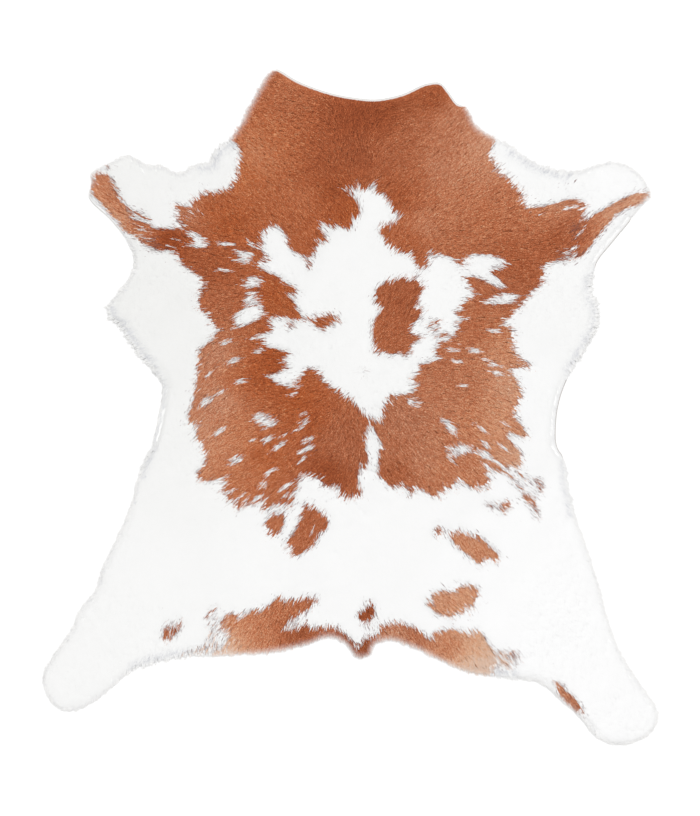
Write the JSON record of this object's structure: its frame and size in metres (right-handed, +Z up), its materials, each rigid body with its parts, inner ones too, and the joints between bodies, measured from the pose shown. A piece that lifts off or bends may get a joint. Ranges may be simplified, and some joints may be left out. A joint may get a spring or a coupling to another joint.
{
  "type": "cowhide rug",
  "caption": "Small hair-on cowhide rug lying flat, chestnut and white coat up, with trimmed neck, forelegs, hind legs and tail stub.",
  "frame": {"origin": "middle of the rug's outline, on the floor under it", "axes": "+Z up out of the coat, +Y towards the neck, +X to the right seen from above with the neck at the top"},
  "size_m": [0.8636, 0.9462, 0.0065],
  "materials": {
    "coat": "short lying hair with a soft sheen, chestnut and white",
    "skin": "pale sueded flesh side and cut edge"
  },
  "bodies": {
    "root": {"hide": "coat"}
  },
  "joints": []
}
